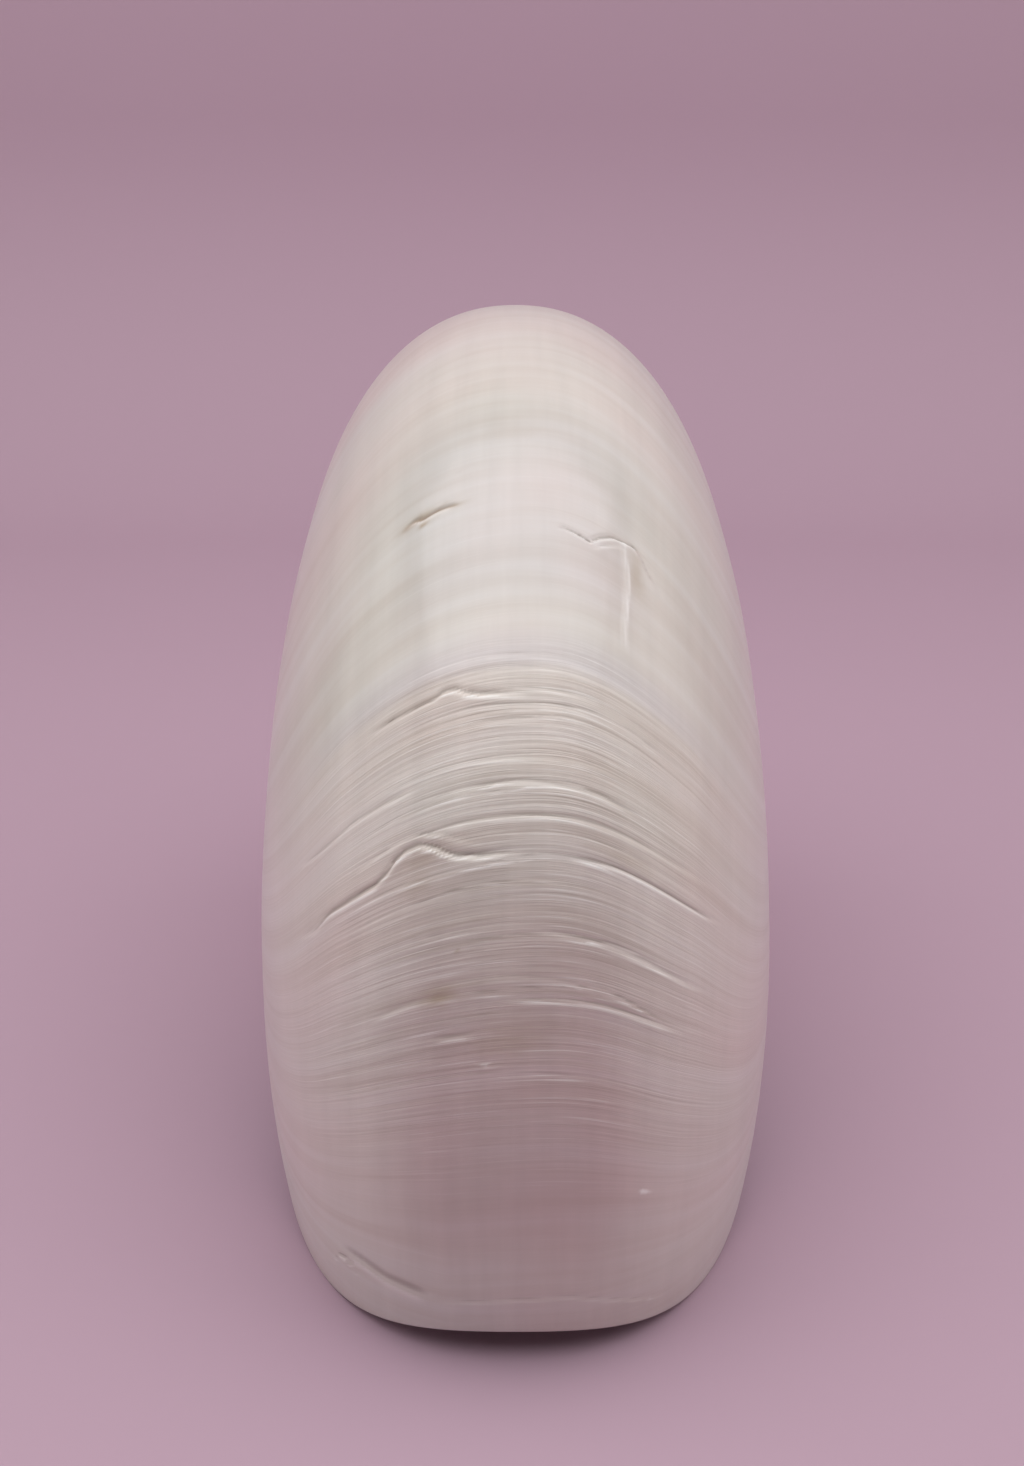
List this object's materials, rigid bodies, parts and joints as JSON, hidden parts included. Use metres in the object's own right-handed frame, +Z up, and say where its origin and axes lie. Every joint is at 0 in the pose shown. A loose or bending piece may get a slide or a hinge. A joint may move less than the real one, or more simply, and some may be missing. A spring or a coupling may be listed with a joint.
{
  "type": "nautilus shell",
  "caption": "Polished pearly nautilus shell standing on its mouth, coiled in one plane, with a hollow living chamber and fine growth lines.",
  "frame": {"origin": "on the surface the shell stands on, in its plane of symmetry, midway between the front of the rim and the back of the coil", "axes": "+Z up, +Y from the front of the mouth's rim towards the back of the coil, +X towards one flank"},
  "size_m": [0.0708, 0.1504, 0.1183],
  "materials": {
    "pearl": "satin"
  },
  "bodies": {
    "root": {"shell": "pearl"}
  },
  "joints": []
}
